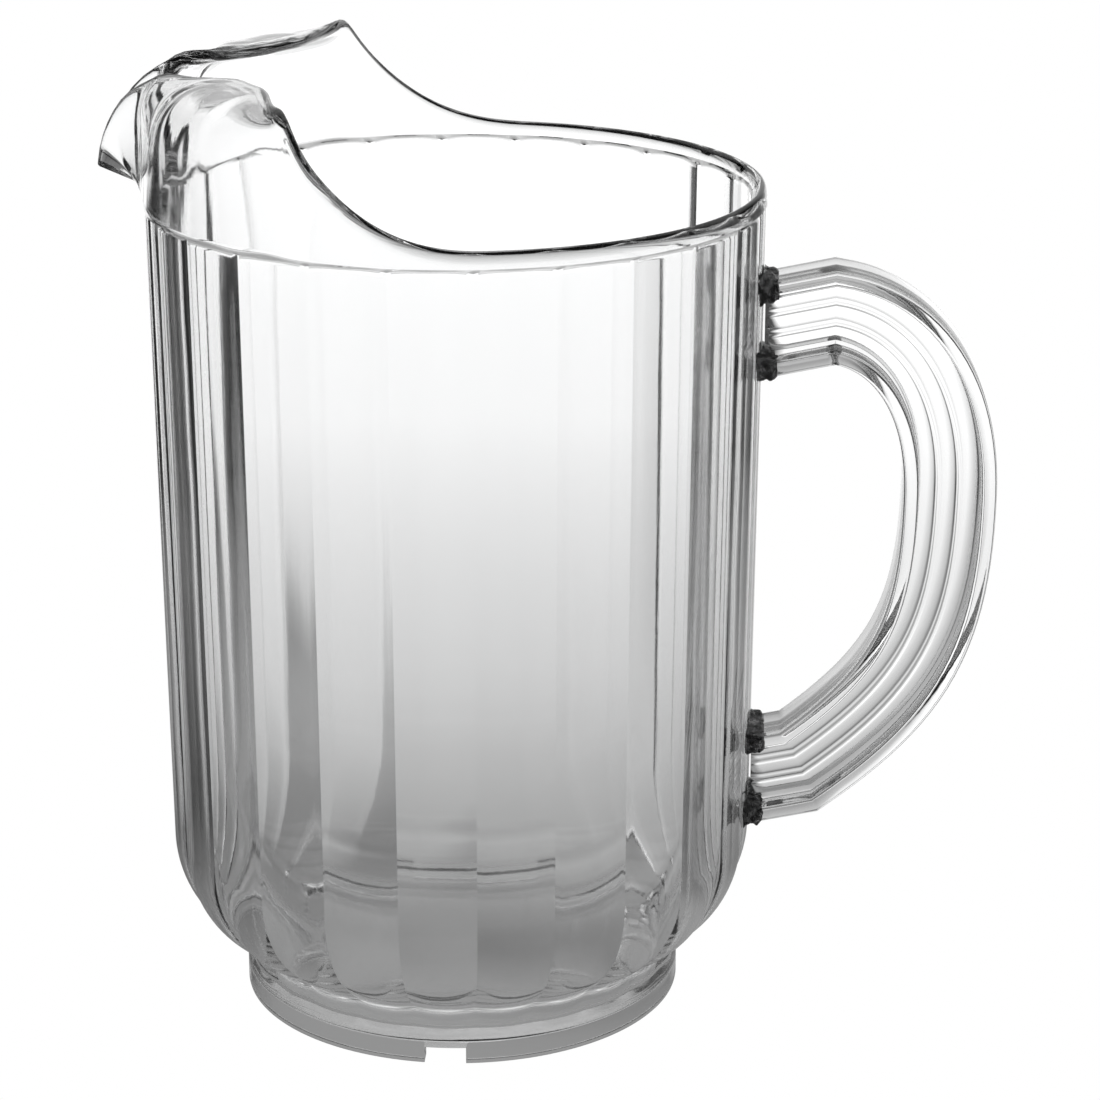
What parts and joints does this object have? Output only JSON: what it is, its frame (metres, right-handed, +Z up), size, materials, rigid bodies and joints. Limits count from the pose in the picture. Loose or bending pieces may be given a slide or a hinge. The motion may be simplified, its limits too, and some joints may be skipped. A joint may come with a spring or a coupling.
{
  "type": "pitcher",
  "caption": "Clear plastic pitcher with a reeded wall, foot ring, beaked spout between turned-in ice guards, and a welded D-shaped handle of I section.",
  "frame": {"origin": "on the table under the middle of the outline, half way between the beak's tip and the outside of the grip", "axes": "+Z up, +X from the spout towards the handle, +Y across the symmetry plane"},
  "size_m": [0.1928, 0.1326, 0.2086],
  "materials": {
    "clear_plastic": "clear and polished",
    "weld_plastic": "clear but rough, frosted by welding"
  },
  "bodies": {
    "root": {"body": "clear_plastic", "handle": "clear_plastic", "upper_outer_weld": "weld_plastic", "upper_inner_weld": "weld_plastic", "lower_inner_weld": "weld_plastic", "lower_outer_weld": "weld_plastic"}
  },
  "joints": []
}
